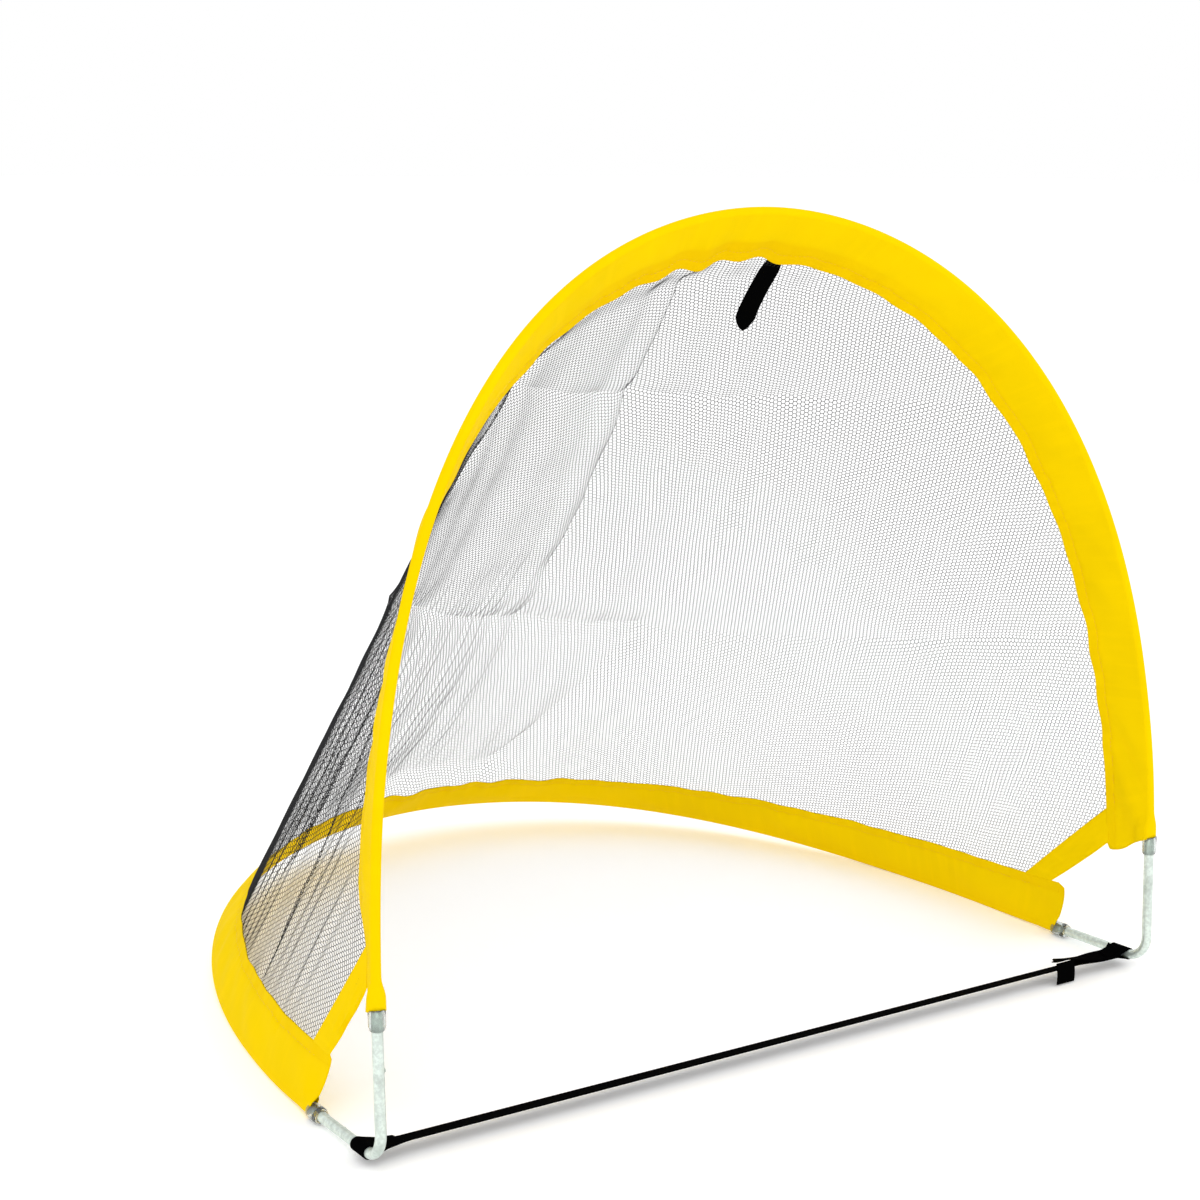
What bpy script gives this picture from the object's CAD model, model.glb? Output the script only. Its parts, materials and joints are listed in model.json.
"""Folding soccer goal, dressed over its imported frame: cloth sleeves, a fine net, bent steel feet and webbing.

The cloth is one sheet between the two hoops. A point of it is named by its arc, along the sheet from the
crown, and its side, across the sheet from the front hoop to the rear one. Lift is outwards from the sheet.
Pieces at the feet are worked out in the feet's frame: x across, y along the floor, z up, before the goal is
tipped back onto the sides of its rear hoop.
"""

import json
import math
from collections import namedtuple

import bmesh
import bpy
import numpy as np
from bpy.props import FloatProperty, FloatVectorProperty, IntProperty, PointerProperty
from mathutils import Matrix, Vector


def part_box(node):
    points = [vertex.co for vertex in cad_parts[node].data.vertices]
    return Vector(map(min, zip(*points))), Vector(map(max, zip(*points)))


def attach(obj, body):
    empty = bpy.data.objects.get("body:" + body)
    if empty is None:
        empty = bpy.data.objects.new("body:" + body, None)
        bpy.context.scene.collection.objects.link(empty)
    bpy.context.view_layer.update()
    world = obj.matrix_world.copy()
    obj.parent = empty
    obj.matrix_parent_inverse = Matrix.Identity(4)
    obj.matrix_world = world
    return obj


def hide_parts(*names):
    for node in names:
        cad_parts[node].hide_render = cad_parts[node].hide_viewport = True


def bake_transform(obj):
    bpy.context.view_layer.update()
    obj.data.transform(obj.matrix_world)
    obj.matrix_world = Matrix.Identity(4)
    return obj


bl_info = {
    "name": "Folding soccer goal",
    "version": (1, 0, 0),
    "blender": (4, 5, 0),
    "location": "View3D > Sidebar > Goal",
    "description": "Builds the cloth, net, webbing and metalwork of a folding soccer goal",
    "category": "Add Mesh",
}

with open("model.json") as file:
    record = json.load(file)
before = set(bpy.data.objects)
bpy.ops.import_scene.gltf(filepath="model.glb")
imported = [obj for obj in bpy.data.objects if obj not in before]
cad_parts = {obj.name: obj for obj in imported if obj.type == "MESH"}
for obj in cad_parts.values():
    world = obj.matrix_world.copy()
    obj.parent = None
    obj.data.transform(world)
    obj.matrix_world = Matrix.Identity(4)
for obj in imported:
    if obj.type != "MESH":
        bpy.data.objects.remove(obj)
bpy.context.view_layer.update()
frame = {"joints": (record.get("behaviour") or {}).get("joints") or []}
ROOT2 = math.sqrt(2)
FRONT = -1
REAR = 1
STANDING = "standing_frame"
LAY_ALONG_X = Matrix.Rotation(math.pi / 2, 4, "Y")


def middle(node, axis):
    """The middle of a node along one axis, so that defaults come from the frame itself."""
    low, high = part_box(node)
    return (low[axis] + high[axis]) / 2


def breadth(node, axis):
    """A node's size along one axis."""
    low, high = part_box(node)
    return high[axis] - low[axis]


def length(name, description, default):
    """A size in metres."""
    return FloatProperty(name=name, description=description, default=default, unit="LENGTH", precision=4)


def turn(name, description, radians):
    """An angle, given in radians."""
    return FloatProperty(name=name, description=description, default=radians, subtype="ANGLE")


def angle(name, description, degrees):
    """An angle, given in degrees."""
    return turn(name, description, math.radians(degrees))


def power(name, description, watts):
    """A light's power."""
    return FloatProperty(name=name, description=description, default=watts, subtype="POWER")


def colour(name, description, default):
    """A colour of one finish, as linear red, green and blue."""
    return FloatVectorProperty(
        name=name, description=description, default=default, subtype="COLOR", min=0, max=1,
    )


class GoalSizes(bpy.types.PropertyGroup):
    """Sizes of the goal, in metres, which repeat those of its construction"""

    leg_spacing: length("Leg spacing", "Between the axes of the two feet", 2 * middle("right_foot_tube", 0))
    tube_diameter: length("Tube", "Outside diameter of the bent tubes", breadth("right_foot_tube", 0))
    tube_wall: length("Tube wall", "Wall of the bent tubes", 0.001)
    tube_run: length("Tube leg", "From the corner of a foot to its tube's mouth", 0.133)
    tube_bend: length("Bend radius", "Radius of a foot's bend on its axis", 0.025)
    bush_diameter: length("Bush", "Outside diameter of a bush", breadth("front_right_bush", 0))
    bush_length: length("Bush length", "Length of a bush", 0.019)
    bush_lip: length("Bush lip", "How far a bush stands past the tube's mouth", 0.0015)
    bush_taper: length("Bush taper", "Length of the bush's tapered end", 0.0035)
    rod_diameter: length("Rod", "Diameter of the hooped rods", 0.007)
    rod_insert: length("Rod insert", "How deep a rod goes into its tube", 0.060)
    hoop_height: length("Hoop height", "From the feet's corners to a hoop's crown", 0.781)
    leg_pull: length("Leg pull", "How far the hoop's outline keeps its leg's direction", 0.540)
    crown_pull: length("Crown pull", "How far the hoop's outline keeps its crown's direction", 0.160)
    hoop_bow: length("Hoop bow", "How far each crown leans towards the other hoop", 0.068)
    bow_slope: FloatProperty(
        name="Bow slope", description="Lean of a hoop where it lies on the floor", default=0.06,
    )
    bow_straight: length("Bow straight", "Length of hoop that lies straight on the floor", 0.070)
    rivet_height: length("Rivet height", "From a foot's corner to its rivets", 0.080)
    rivet_head: length("Rivet head", "Diameter of a rivet's head", 0.0044)
    rivet_dome: length("Rivet dome", "How far a rivet's head stands out", 0.0011)
    sleeve_ease: length("Sleeve ease", "From a rod's surface to its sleeve's outside", 0.0012)
    sleeve_start: length("Sleeve start", "From a bush's mouth to the sleeve's end", 0.0006)
    band_width: length("Band width", "From a rod's axis to its sleeve's inner edge", 0.058)
    right_lean: angle("Right lean", "How far the front band turns inwards on its right side", 2.0)
    left_lean: angle("Left lean", "How far the front band turns inwards on its left side", 8.0)
    foot_lean: angle("Foot lean", "How much further the front band turns in beside the left foot", 10.0)
    rear_lean: angle("Rear lean", "How far the rear band turns inwards", 10.0)
    hem_width: length("Hem width", "Between a sleeve's seam and its inner edge", 0.0115)
    hem_thickness: length("Hem thickness", "Thickness of the sewn hem", 0.0022)
    hem_sway: length("Hem sway", "How far the bands' inner edges wander", 0.0020)
    cloth_thickness: length("Cloth", "Thickness of the sleeves' cloth", 0.0004)
    tape_width: length("Tape width", "Width of the binding on the net's lower corners", 0.028)
    tape_thickness: length("Tape thickness", "Thickness of that binding", 0.0014)
    corner_drop: length("Corner drop", "How far the binding hangs below the bands' middles", 0.0050)
    tape_rise: length("Tape rise", "How much higher one end of that binding is sewn", 0.0120)
    tuck: length("Tuck", "How far the net and the bindings reach into the hems", 0.0045)
    net_pitch: length("Net pitch", "Between the net's columns of holes", 0.0040)
    net_row: length("Net row", "Between one hole and the next in a column", 0.0043)
    net_thread: length("Net thread", "Thickness of the net's threads", 0.00064)
    net_turn: angle("Net turn", "How far the net's columns turn from the straight way across", 19.5)
    net_sag: length("Net sag", "How far the net sags inwards between the hoops", 0.020)
    net_panels: IntProperty(name="Net panels", description="Panels that the net folds in", default=41)
    strap_width: length("Strap width", "Width of the ground strap", 0.025)
    strap_thickness: length("Strap thickness", "Thickness of all the webbing", 0.0012)
    strap_back: length("Strap place", "From the feet's corners back to the strap's middle", 0.0355)
    strap_lap: length("Strap lap", "From the left foot to the end of the sewn loop", 0.034)
    strap_nip: length("Strap nip", "From a foot to where the strap's layers meet", 0.018)
    strap_tail: length("Strap tail", "Length of the strap's doubled end", 0.108)
    strap_flare: length("Strap flare", "How far the doubled end stands off the strap", 0.0105)
    left_twist: angle("Left twist", "How far the strap turns over beside the left foot", 12.0)
    right_twist: angle("Right twist", "How far the strap turns over towards the right foot", 15.0)
    tab_width: length("Tab width", "Width of the strap's fastening end", 0.025)
    tab_length: length("Tab length", "Length of the strap's fastening end", 0.023)
    tie_width: length("Tie width", "Width of the crown tie", 0.022)
    tie_arc: length("Tie place", "From the crown to the crown tie, along the cloth", 0.046)
    tie_length: length("Tie length", "Length of the crown tie", 0.096)
    tie_point: length("Tie point", "Length of the tie's point", 0.017)
    gap: length("Gap", "Clearance between pieces that touch", 0.0003)


class GoalColours(bpy.types.PropertyGroup):
    """Colours of the goal's finishes"""

    yellow: colour("Cloth", "Sleeve cloth", (0.86, 0.595, 0.0))
    hem: colour("Hem", "Sleeve cloth where two layers and the net are sewn together", (0.81, 0.520, 0.0))
    thread: colour("Thread", "Sewing thread", (0.76, 0.45, 0.0))
    net: colour("Net", "Net's threads", (0.012, 0.012, 0.013))
    webbing: colour("Webbing", "Strap, tab and tie", (0.0016, 0.0016, 0.0017))
    steel: colour("Steel", "Galvanised tube", (0.70, 0.79, 0.73))
    bush: colour("Bush", "Clear plastic", (0.88, 0.93, 0.90))
    rod: colour("Rod", "Fibreglass rod", (0.78, 0.78, 0.72))
    floor: colour("Floor", "Studio floor", (0.99, 0.99, 0.99))


class GoalStage(bpy.types.PropertyGroup):
    """The camera and the light"""

    eye: FloatVectorProperty(
        name="Eye", description="Where the camera stands, in the frame of the feet",
        default=(-1.2079, -1.5486, 0.758), subtype="TRANSLATION", unit="LENGTH",
    )
    yaw: turn("Yaw", "How far it looks to the right", 0.5654)
    pitch: turn("Pitch", "How far it looks down", 0.1644)
    roll: turn("Roll", "How far it leans", -0.0154)
    lens: FloatProperty(
        name="Lens", description="Focal length in millimetres on the sensor", default=65.109,
        subtype="DISTANCE_CAMERA",
    )
    key: power("Key light", "Power of the key light in watts", 24.0)
    fill: power("Fill light", "Power of the fill light in watts", 9.0)
    sky: FloatProperty(
        name="Surrounding light", description="Strength of the studio's even light", default=1.0,
    )


# How many waves make up a ripple, and what brings its peaks near 1
WAVES_IN_A_RIPPLE = 7
RIPPLE_PEAK = 1.5
# What the random waves start from. A sleeve's lower face, gathers and hem add to the sleeve's own number
SLEEVE_SEEDS = {REAR: 11, FRONT: 23}
LOWER_FACE_SEED = 50
PUCKER_SEED = 1
HEM_COLOUR_SEED = 5
BINDING_SEED = 37
HEM_SEED = 40
NET_WAVE_SEED, NET_CROSS_WAVE_SEED, LEFT_WRINKLE_SEED, FOLD_SEED, LOW_WRINKLE_SEED = range(71, 76)

# How finely the hoops' curve is sampled, and half of the angle that the rods' pockets are flattened over
HOOP_STEPS = 400
POCKET_FLAT = math.radians(22)
# From a bush's mouth to the start of the bands that the bindings are measured from
BAND_START = 0.0025
# The front band's lean changes sides over this run, and turns in further beside the left foot over the other
LEAN_CHANGES_AT, LEAN_CHANGE_RUN = 0.04, 0.12
FOOT_LEAN_REACH, FOOT_LEAN_RUN = 0.075, 0.06
# How much the hems stray at the legs, as a share of their sway, what the crown adds to that and over what
# length, and how far from the bushes they are still straight, with the run over which they begin to stray
SWAY_AT_LEGS, SWAY_AT_CROWN, CROWN_LENGTH = 0.45, 0.8, 0.15
SWAY_MARGIN, SWAY_RUN = 0.05, 0.05
# How much of its stray inwards a hem also stands off its band's plane
SWAY_OFF = 0.8
# The front rods flex between these heights below and above the line that the arch folds on
FLEX_BELOW, FLEX_ABOVE = 0.004, 0.014


def sizes():
    """The scene's own sizes."""
    return bpy.context.scene.goal_sizes


def colours():
    """The scene's own colours."""
    return bpy.context.scene.goal_colours


def ease(t):
    """0 up to 0, 1 from 1 on, and a smooth rise between them."""
    t = np.clip(t, 0, 1)
    return t * t * (3 - 2 * t)


def fade_in(value, start, run):
    """0 until value reaches start, then rising to 1 over this run."""
    return ease((value - start) / run)


def fade_out(value, end, run):
    """1, then falling over this run to 0 where value reaches end."""
    return ease((end - value) / run)


def bell(value, width):
    """1 where value is 0, and falling away smoothly on both sides of it."""
    return np.exp(-((value / width) ** 2))


def ripple(t, seed, shortest, longest):
    """A smooth irregular wave along t, mostly between -1 and 1, made of waves between these two lengths."""
    rng = np.random.default_rng(seed)
    wave = np.zeros(np.shape(t))
    for _ in range(WAVES_IN_A_RIPPLE):
        wavelength = math.exp(rng.uniform(math.log(shortest), math.log(longest)))
        wave = wave + np.sin(math.tau * (t / wavelength + rng.random()))
    return wave / math.sqrt(WAVES_IN_A_RIPPLE / 2) / RIPPLE_PEAK


def two_faced_ripple(upper, t, seed, shortest, longest):
    """A ripple that differs between the upper and the lower face of a sleeve."""
    waves = [ripple(t, each, shortest, longest) for each in (seed, seed + LOWER_FACE_SEED)]
    return np.where(upper, *waves)


def share_of(side, edge):
    """A side as a share of the way from the middle of the cloth to a band's edge."""
    return side / np.maximum(edge, 1e-4)


def walked_along(steps):
    """How far one has come at the start and after each of these steps."""
    return np.concatenate([[0], np.cumsum(steps)])


def pulled_curve(t, start, start_pull, end_pull, end):
    """One coordinate of a cubic curve between two ends, pulled towards two points on its way."""
    left = 1 - t
    return left**3 * start + 3 * left**2 * t * start_pull + 3 * left * t**2 * end_pull + t**3 * end


class Cloth:
    """The sheet between the hoops, which are mirror images about the plane halfway between them."""

    def __init__(self):
        s = sizes()
        self.half = s.leg_spacing / 2
        self.bush_end = s.tube_run + s.bush_lip
        self.rod_radius = s.rod_diameter / 2
        self.sleeve_radius = self.rod_radius + s.sleeve_ease
        flat = self.sleeve_radius * math.cos(POCKET_FLAT)
        drop = s.bush_diameter / 2 + s.gap - flat
        self.ramp = self.bush_end + 2 * drop / s.bow_slope
        self.turn = self.ramp + s.bow_straight
        t = np.linspace(0, 1, HOOP_STEPS)
        across = pulled_curve(t, 0, s.crown_pull, self.half, self.half)
        along = pulled_curve(t, s.hoop_height, s.hoop_height, self.bush_end + s.leg_pull, self.bush_end)
        self.across = np.append(across, self.half)
        self.along = np.append(along, 0.0)
        bow = self.bow(self.along)
        self.crest = (self.along + bow) / ROOT2
        self.reach = (self.along - bow) / ROOT2
        steps = np.hypot(np.diff(self.across), np.diff(self.crest))
        self.arc = walked_along(steps)
        self.rod = walked_along(np.hypot(steps, np.diff(self.reach)))
        self.slope = np.gradient(self.reach, self.arc)
        self.out_across = -np.gradient(self.crest, self.arc)
        self.out_crest = np.gradient(self.across, self.arc)
        self.tilt = math.atan(s.bow_slope)
        cosine, sine = math.cos(self.tilt), math.sin(self.tilt)
        floor = (float(self.bow(self.ramp)) - flat) * cosine - self.ramp * sine
        front = s.tube_bend * (cosine + sine) - s.tube_bend - s.tube_diameter / 2
        back = s.hoop_height * cosine + s.hoop_bow * sine + self.sleeve_radius
        self.shift = (0.0, -(front + back) / 2, -floor - s.gap)
        self.rod_end = float(self.rod_of_arc(self.arc_at(self.bush_end)))

    def bow(self, run):
        """How far a hoop leans towards the other one, at this distance along its leg direction."""
        s = sizes()
        ramp = np.clip(run - self.bush_end, 0, self.ramp - self.bush_end)
        straight = np.clip(run - self.ramp, 0, None)
        turned = np.clip(run - self.turn, 0, None)
        first = s.bow_slope * ramp**2 / (2 * (self.ramp - self.bush_end)) + s.bow_slope * straight
        at_crown = s.bow_slope * ((self.ramp - self.bush_end) / 2 + s.hoop_height - self.ramp)
        return first + (s.hoop_bow - at_crown) * (turned / (s.hoop_height - self.turn)) ** 2

    def stand(self, x, y, z):
        """World points of places in the feet's frame."""
        cosine, sine = math.cos(self.tilt), math.sin(self.tilt)
        points = np.stack(np.broadcast_arrays(x, y * cosine + z * sine, -y * sine + z * cosine), axis=-1)
        return points + np.array(self.shift)

    def matrix(self):
        """The same step from the feet's frame to the world, for whole meshes."""
        return Matrix.Translation(self.shift) @ Matrix.Rotation(-self.tilt, 4, "X")

    def arc_at(self, along):
        """The arc position where a hoop stands this far from the feet."""
        return float(np.interp(-along, -self.along, self.arc))

    def arc_of_rod(self, rod):
        """The arc position of a place along the rod from the crown."""
        return np.sign(rod) * np.interp(np.abs(rod), self.rod, self.arc)

    def rod_of_arc(self, arc):
        """How far along the rod from the crown an arc position is."""
        return np.sign(arc) * np.interp(np.abs(arc), self.arc, self.rod)

    def sheet(self, arc, side, lift=0.0):
        """World points of the cloth."""
        from_crown = np.abs(arc)
        mirror = np.where(np.asarray(arc) < 0, -1.0, 1.0)
        across, crest, out_across, out_crest = (
            np.interp(from_crown, self.arc, values)
            for values in (self.across, self.crest, self.out_across, self.out_crest)
        )
        x = across + lift * out_across
        crest = crest + lift * out_crest
        return self.stand(mirror * x, (crest + side) / ROOT2, (crest - side) / ROOT2)

    def lean(self, arc, face):
        """How far a band turns inwards about its rod."""
        s = sizes()
        if face == REAR:
            return s.rear_lean + 0 * np.asarray(arc)
        change = fade_out(np.asarray(arc), LEAN_CHANGES_AT, LEAN_CHANGE_RUN)
        foot = self.arc_at(self.bush_end)
        beside_foot = fade_out(np.asarray(arc), FOOT_LEAN_REACH - foot, FOOT_LEAN_RUN)
        return s.right_lean + (s.left_lean - s.right_lean) * change + s.foot_lean * beside_foot

    def wander(self, rod, face):
        """How far a band's inner edge strays inwards, and how far it stands off the band's plane.

        It strays most at the crown, and not at all within 5 cm of the bushes.
        """
        wave = sizes().hem_sway * (SWAY_AT_LEGS + SWAY_AT_CROWN * bell(rod, CROWN_LENGTH))
        wave = wave * fade_in(self.rod_end - np.abs(rod), SWAY_MARGIN, SWAY_RUN)
        seed = HEM_SEED + face
        return wave * ripple(rod, seed, 0.045, 0.14), SWAY_OFF * wave * ripple(rod, seed + 2, 0.04, 0.14)

    def band(self, arc, face, inward, lift=0.0):
        """World points this far inward from a rod's axis, square to the rod, in the plane of its band."""
        lean = self.lean(arc, face)
        flat = inward * np.cos(lean) + lift * np.sin(lean)
        lift = lift * np.cos(lean) - inward * np.sin(lean)
        from_crown = np.abs(arc)
        slope = np.interp(from_crown, self.arc, self.slope)
        long = np.hypot(1, slope)
        side = face * (np.interp(from_crown, self.arc, self.reach) - flat / long)
        mirror = np.where(np.asarray(arc) < 0, -1.0, 1.0)
        return self.sheet(mirror * (from_crown + flat * slope / long), side, lift)

    def edge(self, inward):
        """Where a band's edge lies: arc positions, and how far each is from the middle of the cloth."""
        long = np.hypot(1, self.slope)
        return self.arc + inward * self.slope / long, self.reach - inward / long

    def edge_at(self, arc, inward):
        """How far a band's edge is from the middle of the cloth at an arc position."""
        return np.interp(np.abs(arc), *self.edge(inward))

    def hem_lift(self, arc, face):
        """How high a band's hem stands where the net meets it."""
        s = sizes()
        inward = s.band_width - s.tuck / 2
        start = np.sign(arc) * np.interp(np.abs(arc), self.edge(inward)[0], self.arc)
        off = self.wander(self.rod_of_arc(start), face)[1]
        return off - inward * np.sin(self.lean(start, face))

    def net_lift(self, arc, side, edge):
        """The lift that carries the net straight from one band's hem to the other's."""
        front, rear = self.hem_lift(arc, FRONT), self.hem_lift(arc, REAR)
        return front + (rear - front) * (np.clip(share_of(side, edge), -1, 1) + 1) / 2

    def corner(self):
        """The arc position of the lower edge of the binding at the net's corners."""
        s = sizes()
        return self.arc_at(self.bush_end + BAND_START + s.band_width / 2 + s.corner_drop)

    def flex(self):
        """Two points on the front rods, just below and just above the line that the arch folds on."""
        fold = next(joint for joint in frame["joints"] if joint["name"] == "arch_fold")
        hinge = Vector(fold["pos_m"])
        up = Vector((0, math.sin(self.tilt), math.cos(self.tilt)))
        return hinge - FLEX_BELOW * up, hinge + FLEX_ABOVE * up


def bend_at_foot(piece, cloth):
    """The piece stays with the feet below the fold line, and follows the front arch just above it."""
    start, end = cloth.flex()
    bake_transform(piece)


def blend_across(piece, cloth, arc, reach):
    """The piece follows the rear hoop at its rear edge and the front one at its front edge."""
    start = Vector(cloth.sheet(arc, reach))
    end = Vector(cloth.sheet(arc, -reach))
    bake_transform(piece)


def finish_mesh(bm, name):
    """Turns a bmesh into a mesh."""
    mesh = bpy.data.meshes.new(name)
    bm.to_mesh(mesh)
    bm.free()
    return mesh


def add_piece(name, mesh, material):
    """Puts a mesh in the scene as a piece in one of the part's slots."""
    mesh.materials.append(material)
    piece = bpy.data.objects.new(name, mesh)
    bpy.context.scene.collection.objects.link(piece)
    return piece


def smooth(mesh, degrees):
    """Smooth shading, but for edges sharper than this."""
    mesh.shade_smooth()
    mesh.set_sharp_from_angle(angle=math.radians(degrees))


def coordinates(mesh):
    """The places of a mesh's vertices."""
    flat = np.zeros(len(mesh.vertices) * 3, np.float32)
    mesh.vertices.foreach_get("co", flat)
    return flat.reshape(-1, 3).astype(float)


def set_coordinates(mesh, points):
    """Moves a mesh's vertices."""
    mesh.vertices.foreach_set("co", np.asarray(points, np.float32).ravel())


# Points closer than this become one, in pieces made from rows of points and in turned ones
WELD = 1e-6
FINE_WELD = 1e-7


def weld(mesh, capped=False):
    """Joins vertices that lie on each other, fills open ends if asked, and turns the faces outwards."""
    bm = bmesh.new()
    bm.from_mesh(mesh)
    bmesh.ops.remove_doubles(bm, verts=bm.verts, dist=WELD)
    if capped:
        bmesh.ops.holes_fill(bm, edges=bm.edges, sides=0)
    bmesh.ops.recalc_face_normals(bm, faces=bm.faces)
    bm.to_mesh(mesh)
    bm.free()


def bent_pipe(name, columns, rows, place, pattern, capped=True, marks=None):
    """A grid whose u and v run from 0 to 1, bent by place(u, v) until it meets itself where v ends.

    It has a UV map in metres from pattern(u, v), and marks(u, v) says how strongly it is coloured. A capped
    one has its open ends filled.
    """
    bm = bmesh.new()
    bmesh.ops.create_grid(bm, x_segments=columns, y_segments=rows, size=0.5)
    mesh = finish_mesh(bm, name)
    flat = coordinates(mesh)
    u, v = flat[:, 0] + 0.5, flat[:, 1] + 0.5
    set_coordinates(mesh, place(u, v))
    corners = np.zeros(len(mesh.loops), np.int32)
    mesh.loops.foreach_get("vertex_index", corners)
    uv = np.stack(np.broadcast_arrays(*pattern(u, v)), axis=-1)[corners]
    mesh.uv_layers.new(name="pattern").data.foreach_set("uv", uv.astype(np.float32).ravel())
    if marks is not None:
        strengths = mesh.attributes.new("mark", "FLOAT", "POINT").data
        strengths.foreach_set("value", marks(u, v).astype(np.float32))
    weld(mesh, capped)
    smooth(mesh, degrees=60)
    return mesh


def thicken(piece, thickness):
    """Gives a piece a wall on the inner side of its surface."""
    made = piece.modifiers.new("thickness", "SOLIDIFY")
    made.thickness = thickness
    made.offset = -1
    made.use_even_offset = False


def bar_mesh(name, points, radius, resolution, caps=True):
    """A round bar along points, from a curve with a bevel, with its caps welded."""
    curve = bpy.data.curves.new(name, "CURVE")
    curve.dimensions = "3D"
    curve.bevel_depth = radius
    curve.bevel_resolution = resolution
    curve.use_fill_caps = caps
    spline = curve.splines.new("POLY")
    spline.points.add(len(points) - 1)
    for knot, place in zip(spline.points, points):
        knot.co = (*place, 1)
    guide = bpy.data.objects.new(name, curve)
    bpy.context.scene.collection.objects.link(guide)
    bpy.context.view_layer.update()
    mesh = bpy.data.meshes.new_from_object(guide.evaluated_get(bpy.context.evaluated_depsgraph_get()))
    bpy.data.objects.remove(guide, do_unlink=True)
    weld(mesh)
    smooth(mesh, degrees=50)
    return mesh


def turned_mesh(name, profile, steps=48):
    """A shape turned about Z from (radius, height) points. The profile closes unless it ends on the axis."""
    bm = bmesh.new()
    loop = [bm.verts.new((radius, 0, height)) for radius, height in profile]
    for start, end in zip(loop, loop[1:]):
        bm.edges.new((start, end))
    if profile[0][0] > 0:
        bm.edges.new((loop[-1], loop[0]))
    bmesh.ops.spin(
        bm, geom=bm.verts[:] + bm.edges[:], axis=(0, 0, 1), cent=(0, 0, 0), angle=math.tau, steps=steps,
        use_merge=True,
    )
    bmesh.ops.remove_doubles(bm, verts=bm.verts, dist=FINE_WELD)
    bmesh.ops.recalc_face_normals(bm, faces=bm.faces)
    mesh = finish_mesh(bm, name)
    smooth(mesh, degrees=35)
    return mesh


def around(section, v):
    """Each of a closed section's coordinates at v, which runs round it from 0 to 1."""
    row = v * (len(section) - 1)
    steps = np.arange(len(section))
    return [np.interp(row, steps, column) for column in section.T]


class Shader:
    """A short way to write a node material: one Principled shader and the nodes that feed it."""

    def __init__(self, name, base, roughness, **values):
        self.material = bpy.data.materials.new(name)
        self.material.use_nodes = True
        self.tree = self.material.node_tree
        self.out = self.tree.nodes["Principled BSDF"]
        self.out.inputs["Base Color"].default_value = (*base, 1)
        self.out.inputs["Roughness"].default_value = roughness
        for socket, value in values.items():
            self.out.inputs[socket.replace("_", " ")].default_value = value
        self.material.diffuse_color = (*base, 1)

    def node(self, kind, values=None, **links):
        """Adds a node of this kind, with its settings or constant inputs, and the outputs that feed it."""
        made = self.tree.nodes.new("ShaderNode" + kind)
        for key, value in (values or {}).items():
            if hasattr(made, key):
                setattr(made, key, value)
            else:
                made.inputs[key].default_value = value
        for key, source in links.items():
            self.tree.links.new(source, made.inputs[key])
        return made

    def link(self, source, socket):
        """Feeds one of the shader's own sockets."""
        self.tree.links.new(source, self.out.inputs[socket])

    def place(self, scale=(1, 1, 1)):
        """The place on the object, in metres."""
        source = self.node("TexCoord").outputs["Object"]
        return self.node("Mapping", {"Scale": scale}, Vector=source).outputs["Vector"]

    def pattern(self):
        """The place on the cloth, from the piece's own UV map in metres."""
        return self.node("UVMap", {"uv_map": "pattern"}).outputs["UV"]

    def noise(self, vector, scale, detail=3.0):
        """Even blotches, about this many to the metre."""
        return self.node("TexNoise", {"Scale": scale, "Detail": detail}, Vector=vector).outputs["Fac"]

    def ramp(self, source, low, high, to_low=0.0, to_high=1.0):
        """Stretches the values between low and high over another range."""
        values = {"From Min": low, "From Max": high, "To Min": to_low, "To Max": to_high}
        return self.node("MapRange", values, Value=source).outputs["Result"]

    def feed(self, made, sockets):
        """Sets each numbered socket from a node's output, a colour or a number."""
        for socket, value in sockets:
            if isinstance(value, bpy.types.NodeSocket):
                self.tree.links.new(value, made.inputs[socket])
            elif isinstance(value, tuple):
                made.inputs[socket].default_value = (*value, 1)
            else:
                made.inputs[socket].default_value = value

    def mix(self, factor, first, second):
        """A colour between two others, which are the node's sockets 6 and 7. Its result is output 2."""
        made = self.node("Mix", {"data_type": "RGBA"})
        self.feed(made, ((0, factor), (6, first), (7, second)))
        return made.outputs[2]

    def tones(self, factor, base, low, high):
        """A colour that varies between two tones of itself."""
        return self.mix(factor, shade(base, low), shade(base, high))

    def product(self, first, second):
        """Two values multiplied."""
        made = self.node("Math", {"operation": "MULTIPLY"})
        self.feed(made, ((0, first), (1, second)))
        return made.outputs[0]

    def weave(self, vector, pitch):
        """Two families of threads that cross, as a height from 0 to 1."""
        waves = []
        for way in ("X", "Y"):
            values = {"Scale": math.pi / 10 / pitch, "bands_direction": way}
            waves.append(self.node("TexWave", values, Vector=vector).outputs["Fac"])
        return self.product(*waves)

    def bump(self, height, strength, distance):
        """Relief that is too fine to model."""
        made = self.node("Bump", {"Strength": strength, "Distance": distance}, Height=height)
        self.link(made.outputs["Normal"], "Normal")


def shade(base, factor):
    """A colour made darker or lighter."""
    return tuple(min(c * factor, 1.0) for c in base)


def shared(name, make):
    """A material by name, made the first time that it is asked for."""
    return bpy.data.materials.get(name) or make(name)


# Spacing of the cloth's threads and of the webbing's ribs, and the slant of the cloth's creases and their
# number to the metre, across and along
CLOTH_WEAVE = 0.0006
WEBBING_RIB = 0.0012
CREASE_SLANT = math.radians(28)
CREASES_PER_METRE = (90.0, 9.0, 1.0)


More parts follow.
